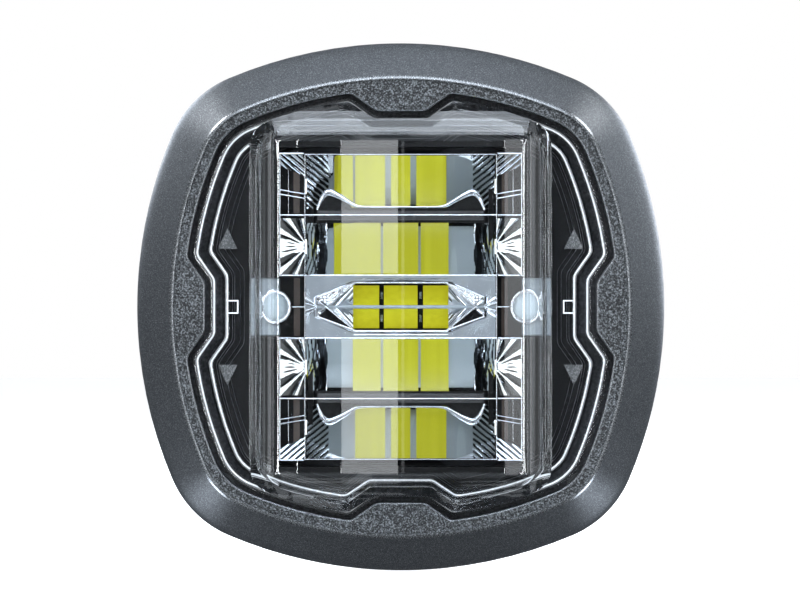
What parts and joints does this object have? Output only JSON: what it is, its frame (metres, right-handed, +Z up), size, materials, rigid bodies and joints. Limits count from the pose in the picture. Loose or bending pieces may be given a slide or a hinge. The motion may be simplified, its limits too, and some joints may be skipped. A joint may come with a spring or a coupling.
{
  "type": "led auxiliary lamp head",
  "caption": "Rounded-square recessed LED auxiliary lamp head with a clip-on bezel, clear domed lens, mirror rows, finned rear housing and cable gland.",
  "frame": {"origin": "middle of the mounting gasket's rear face, which lies on the vehicle panel", "axes": "-Y out of the lens towards the viewer, +Y into the panel, +Z up, +X to the viewer's right"},
  "size_m": [0.095, 0.0648, 0.095],
  "materials": {
    "bezel_coat": "satin charcoal, fine sparkle, sand-textured plateau",
    "nylon": "satin natural nylon",
    "epdm": "matt black",
    "cast_black": "die cast, satin black-grey coat",
    "clear_pc": "clear polycarbonate, polished",
    "black_abs": "fine sand texture, black",
    "mirror_coat": "vacuum metallised, bright",
    "plated_steel": "zinc plated",
    "bare_aluminium": "milled",
    "gap_pad": "soft thermal pad",
    "board_black": "solder mask, satin",
    "board_green": "solder mask, satin",
    "phosphor": "yellow-green silicone",
    "led_clear": "white package, clear top",
    "ferrite": "sintered ferrite",
    "can_blue": "sleeved can",
    "chip_black": "moulded epoxy",
    "white_pa": "moulded polyamide",
    "black_pa": "moulded polyamide, black",
    "black_rubber": "matt black",
    "membrane": "expanded PTFE"
  },
  "bodies": {
    "lamp": {"bezel_bushes": "nylon", "mount_gasket": "epdm", "mount_flange": "cast_black", "rear_cup": "cast_black", "heat_sink": "cast_black", "heat_sink_screws": "plated_steel", "lens": "clear_pc", "lens_seal": "black_rubber", "inner_mask": "black_abs", "reflector_center": "mirror_coat", "reflector_left": "mirror_coat", "reflector_right": "mirror_coat", "reflector_screws": "plated_steel", "heat_spreader": "bare_aluminium", "spreader_screws": "plated_steel", "thermal_pads": "gap_pad", "blade_board_upper": "board_black", "blade_board_lower": "board_black", "blade_phosphors": "phosphor", "center_wedge": "bare_aluminium", "center_boards": "board_black", "center_phosphors": "phosphor", "center_jumpers": "plated_steel", "side_board_left": "board_black", "side_board_right": "board_black", "side_leds": "led_clear", "driver_board": "board_green", "driver_screws": "plated_steel", "inductors": "ferrite", "capacitors": "can_blue", "driver_chips": "chip_black", "terminal_block": "white_pa", "cable_gland": "black_pa", "gland_washer": "black_rubber", "gland_locknut": "black_pa", "gland_nut": "black_pa", "gland_seal": "black_rubber", "vent_plug": "black_pa", "vent_membrane": "membrane", "vent_o_ring": "black_rubber"},
    "bezel": {"bezel": "bezel_coat"}
  },
  "joints": [
    {"name": "bezel_pull", "type": "slide", "parent": "lamp", "child": "bezel", "axis": [0, -1, 0], "range_m": [0, 0.03]}
  ]
}
